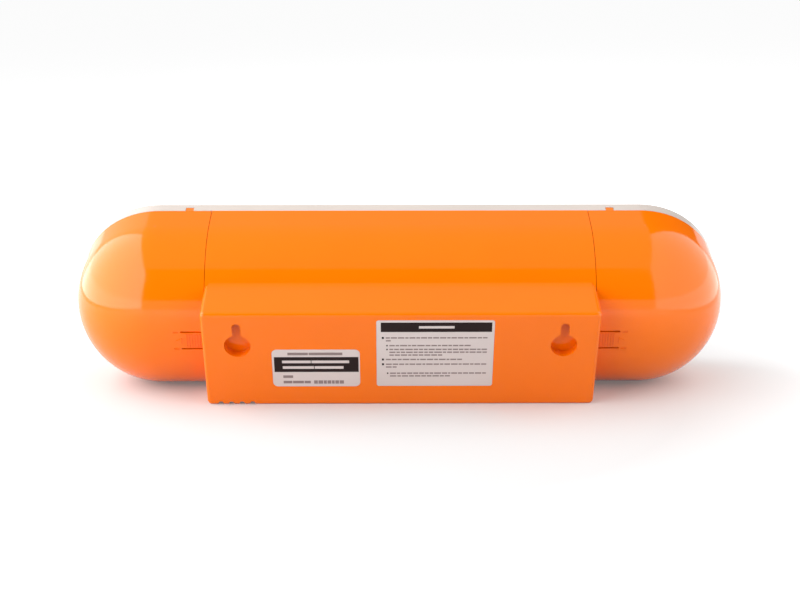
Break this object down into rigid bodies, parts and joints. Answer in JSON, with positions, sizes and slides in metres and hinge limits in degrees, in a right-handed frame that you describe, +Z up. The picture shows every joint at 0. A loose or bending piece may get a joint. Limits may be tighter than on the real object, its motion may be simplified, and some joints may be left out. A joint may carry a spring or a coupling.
{
  "type": "flip calendar clock",
  "caption": "Long capsule-shaped battery clock with an analogue dial and flip windows for month, date and day, for a wall or a desk.",
  "frame": {"origin": "middle of the flat foot under the box behind the body, on the plane it stands on", "axes": "+X to the right as seen from the front, along the capsule; +Y towards the rear; +Z up, with the clock standing on its foot and its face tilted back 20.5 degrees"},
  "size_m": [0.42, 0.1235, 0.1159],
  "materials": {
    "orange_plastic": "glossy moulded orange",
    "cream_plastic": "glossy moulded warm white",
    "clear_acrylic": "clear polished sheet",
    "black_panel": "satin black",
    "orange_chassis": "satin moulded orange",
    "white_label": "printed white film",
    "dial_black": "matt black with white figures",
    "hand_white": "matt white",
    "hand_orange": "matt orange",
    "movement_black": "fine-textured black",
    "gear_acetal": "smooth off-white acetal",
    "brass": "turned brass",
    "zinc_steel": "zinc plated",
    "spring_steel": "nickel plated spring strip",
    "copper_coil": "enamelled copper winding",
    "green_board": "green solder mask",
    "board_black": "black moulded parts",
    "small_cell_jacket": "printed metallised jacket",
    "large_cell_jacket": "printed metallised jacket",
    "tray_plastic": "moulded black",
    "grey_drum": "moulded grey",
    "leaf_black": "matt black card-like film with white print",
    "wheel_white": "moulded white",
    "slider_red": "moulded red",
    "red_wire": "soft insulation"
  },
  "bodies": {
    "clock_body": {"rear_housing": "orange_plastic", "front_bezel": "cream_plastic", "lens": "clear_acrylic", "face_panel": "black_panel", "chassis": "orange_chassis", "chassis_screws": "zinc_steel", "rating_label": "white_label", "notice_label": "white_label", "clock_dial": "dial_black", "movement_case": "movement_black", "movement_cover": "movement_black", "movement_nut": "brass", "movement_coil": "copper_coil", "movement_board": "green_board", "clock_cells": "small_cell_jacket", "clock_cell_tray": "movement_black", "calendar_cells": "large_cell_jacket", "calendar_cell_tray": "tray_plastic", "cell_contacts": "spring_steel", "control_board": "green_board", "board_parts": "board_black", "switch_case": "spring_steel", "drum_shaft": "zinc_steel", "frame_tie_rods": "zinc_steel", "frame_plate_1": "zinc_steel", "frame_plate_2": "zinc_steel", "frame_plate_3": "zinc_steel", "frame_plate_4": "zinc_steel", "leaf_catches": "spring_steel", "reduction_pin": "zinc_steel", "calendar_motor": "zinc_steel", "motor_bracket": "zinc_steel", "calendar_wires": "red_wire", "month_leaves": "leaf_black", "date_leaves": "leaf_black", "day_leaves": "leaf_black"},
    "left_cap": {"left_end_cap": "orange_plastic"},
    "right_cap": {"right_end_cap": "orange_plastic"},
    "hour_arbor": {"hour_wheel": "gear_acetal", "hour_hand": "hand_white"},
    "minute_arbor": {"minute_wheel": "brass", "minute_hand": "hand_white"},
    "second_arbor": {"second_wheel": "gear_acetal", "second_hand": "hand_orange"},
    "idler": {"motion_idler": "gear_acetal"},
    "setting_knob": {"time_setting_knob": "wheel_white"},
    "month_spool": {"month_drum": "grey_drum"},
    "date_spool": {"date_drum": "grey_drum", "date_drum_gear": "gear_acetal"},
    "day_spool": {"day_drum": "grey_drum", "day_setting_wheel": "wheel_white"},
    "month_leaf": {"month_flip_leaf": "leaf_black"},
    "date_leaf": {"date_flip_leaf": "leaf_black"},
    "day_leaf": {"day_flip_leaf": "leaf_black"},
    "reduction": {"reduction_gear": "gear_acetal"},
    "motor_rotor": {"motor_pinion": "brass"},
    "mode_slider": {"switch_slider": "slider_red"}
  },
  "joints": [
    {"name": "left_cap_slide", "type": "slide", "parent": "clock_body", "child": "left_cap", "axis": [-1, 0, 0], "range_m": [0, 0.095]},
    {"name": "right_cap_slide", "type": "slide", "parent": "clock_body", "child": "right_cap", "axis": [1, 0, 0], "range_m": [0, 0.095]},
    {"name": "minute_hand_turn", "type": "hinge", "parent": "clock_body", "child": "minute_arbor", "pos_m": [-0.15475, -0.04609, 0.06197], "axis": [0, 0.9367, -0.3502], "continuous": true},
    {"name": "hour_hand_turn", "type": "hinge", "parent": "clock_body", "child": "hour_arbor", "pos_m": [-0.15475, -0.04515, 0.06162], "axis": [0, 0.9367, -0.3502], "continuous": true},
    {"name": "second_hand_turn", "type": "hinge", "parent": "clock_body", "child": "second_arbor", "pos_m": [-0.15475, -0.04712, 0.06236], "axis": [0, 0.9367, -0.3502], "continuous": true},
    {"name": "idler_turn", "type": "hinge", "parent": "clock_body", "child": "idler", "pos_m": [-0.16049, -0.03367, 0.06607], "axis": [0, 0.9367, -0.3502], "continuous": true},
    {"name": "time_setting_turn", "type": "hinge", "parent": "clock_body", "child": "setting_knob", "pos_m": [-0.15062, -0.0193, 0.06454], "axis": [0, 0.9367, -0.3502], "continuous": true},
    {"name": "month_drum_turn", "type": "hinge", "parent": "clock_body", "child": "month_spool", "pos_m": [-0.068, -0.01031, 0.0486], "axis": [1, 0, 0], "continuous": true},
    {"name": "date_drum_turn", "type": "hinge", "parent": "clock_body", "child": "date_spool", "pos_m": [0.004, -0.01031, 0.0486], "axis": [1, 0, 0], "continuous": true},
    {"name": "day_drum_turn", "type": "hinge", "parent": "clock_body", "child": "day_spool", "pos_m": [0.076, -0.01031, 0.0486], "axis": [1, 0, 0], "continuous": true},
    {"name": "month_leaf_flip", "type": "hinge", "parent": "clock_body", "child": "month_leaf", "pos_m": [-0.068, -0.02155, 0.0528], "axis": [1, 0, 0], "range_deg": [0, 176]},
    {"name": "date_leaf_flip", "type": "hinge", "parent": "clock_body", "child": "date_leaf", "pos_m": [0.004, -0.02155, 0.0528], "axis": [1, 0, 0], "range_deg": [0, 176]},
    {"name": "day_leaf_flip", "type": "hinge", "parent": "clock_body", "child": "day_leaf", "pos_m": [0.076, -0.02155, 0.0528], "axis": [1, 0, 0], "range_deg": [0, 176]},
    {"name": "reduction_turn", "type": "hinge", "parent": "clock_body", "child": "reduction", "pos_m": [-0.0303, 0.01037, 0.03093], "axis": [1, 0, 0], "continuous": true},
    {"name": "motor_turn", "type": "hinge", "parent": "clock_body", "child": "motor_rotor", "pos_m": [-0.0303, 0.02109, 0.01697], "axis": [1, 0, 0], "continuous": true},
    {"name": "mode_switch_slide", "type": "slide", "parent": "clock_body", "child": "mode_slider", "axis": [1, 0, 0], "range_m": [-0.0034, 0.0034]}
  ],
  "couplings": [
    {"joint": "hour_hand_turn", "follows": "minute_hand_turn", "ratio": 0.083333},
    {"joint": "idler_turn", "follows": "minute_hand_turn", "ratio": -0.33333},
    {"joint": "time_setting_turn", "follows": "minute_hand_turn", "ratio": 0.83333},
    {"joint": "reduction_turn", "follows": "date_drum_turn", "ratio": -1.125},
    {"joint": "motor_turn", "follows": "date_drum_turn", "ratio": 3}
  ]
}
